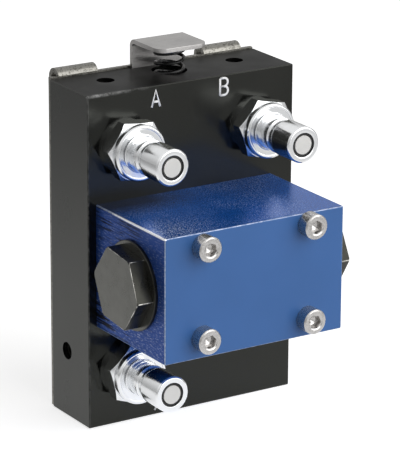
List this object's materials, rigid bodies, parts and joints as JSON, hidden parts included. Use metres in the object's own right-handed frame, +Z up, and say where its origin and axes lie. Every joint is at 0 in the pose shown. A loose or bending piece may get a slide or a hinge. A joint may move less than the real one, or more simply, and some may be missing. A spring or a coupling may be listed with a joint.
{
  "type": "pilot-operated non-return valve module",
  "caption": "Pilot-operated non-return valve block on a drilled connection plate, with quick-connect nipples, panel hooks and a sprung press latch.",
  "frame": {"origin": "centre of the back face of the hook sheet, which lies against the panel", "axes": "+X to the right seen from the front, +Y into the panel, +Z up"},
  "size_m": [0.0837, 0.0793, 0.1251],
  "materials": {
    "black_anodised": "black anodised, satin",
    "stainless_sheet": "rolled stainless, satin",
    "zinc_steel": "zinc plated",
    "blackened_steel": "black phosphated, oiled",
    "spring_steel": "dark drawn wire",
    "blue_coat": "thin blue coat over steel, satin",
    "ground_steel": "hardened and ground",
    "seal_rubber": "nitrile rubber",
    "chrome_plate": "bright plated"
  },
  "bodies": {
    "housing": {"connection_plate": "black_anodised", "top_channel_plugs": "blackened_steel", "side_channel_plug": "blackened_steel", "hook_plate": "stainless_sheet", "hook_plate_screws": "zinc_steel", "latch_spring": "spring_steel", "valve_body": "blue_coat", "valve_screws": "zinc_steel", "port_seals": "seal_rubber", "left_plug": "blackened_steel", "left_plug_seal": "seal_rubber", "right_plug": "blackened_steel", "right_plug_seal": "seal_rubber", "valve_seat": "ground_steel", "poppet_spring": "spring_steel", "nipple_a_adaptor": "chrome_plate", "nipple_a_body": "chrome_plate", "nipple_a_stud_seal": "seal_rubber", "nipple_a_guide": "ground_steel", "nipple_a_spring": "spring_steel", "nipple_b_adaptor": "chrome_plate", "nipple_b_body": "chrome_plate", "nipple_b_stud_seal": "seal_rubber", "nipple_b_guide": "ground_steel", "nipple_b_spring": "spring_steel", "nipple_x_adaptor": "chrome_plate", "nipple_x_body": "chrome_plate", "nipple_x_stud_seal": "seal_rubber", "nipple_x_guide": "ground_steel", "nipple_x_spring": "spring_steel"},
    "latch": {"latch_slide": "stainless_sheet"},
    "pilot_piston": {"pilot_piston": "ground_steel", "piston_seal": "seal_rubber"},
    "main_poppet": {"main_poppet": "ground_steel"},
    "nipple_a_valve": {"nipple_a_poppet": "chrome_plate", "nipple_a_poppet_seal": "seal_rubber"},
    "nipple_b_valve": {"nipple_b_poppet": "chrome_plate", "nipple_b_poppet_seal": "seal_rubber"},
    "nipple_x_valve": {"nipple_x_poppet": "chrome_plate", "nipple_x_poppet_seal": "seal_rubber"}
  },
  "joints": [
    {"name": "latch_press", "type": "slide", "parent": "housing", "child": "latch", "axis": [0, 0, -1], "range_m": [0, 0.005], "stiffness_N_per_m": 1500, "springref_m": -0.004, "deforming": ["latch_spring"]},
    {"name": "pilot_stroke", "type": "slide", "parent": "housing", "child": "pilot_piston", "axis": [1, 0, 0], "range_m": [0, 0.003]},
    {"name": "poppet_lift", "type": "slide", "parent": "housing", "child": "main_poppet", "axis": [1, 0, 0], "range_m": [0, 0.003], "stiffness_N_per_m": 3000, "springref_m": -0.004, "deforming": ["poppet_spring"]},
    {"name": "nipple_a_push", "type": "slide", "parent": "housing", "child": "nipple_a_valve", "axis": [0, 1, 0], "range_m": [0, 0.0045], "stiffness_N_per_m": 2000, "springref_m": -0.003, "deforming": ["nipple_a_spring"]},
    {"name": "nipple_b_push", "type": "slide", "parent": "housing", "child": "nipple_b_valve", "axis": [0, 1, 0], "range_m": [0, 0.0045], "stiffness_N_per_m": 2000, "springref_m": -0.003, "deforming": ["nipple_b_spring"]},
    {"name": "nipple_x_push", "type": "slide", "parent": "housing", "child": "nipple_x_valve", "axis": [0, 1, 0], "range_m": [0, 0.0045], "stiffness_N_per_m": 2000, "springref_m": -0.003, "deforming": ["nipple_x_spring"]}
  ],
  "couplings": [
    {"joint": "poppet_lift", "follows": "pilot_stroke", "ratio": 1}
  ]
}
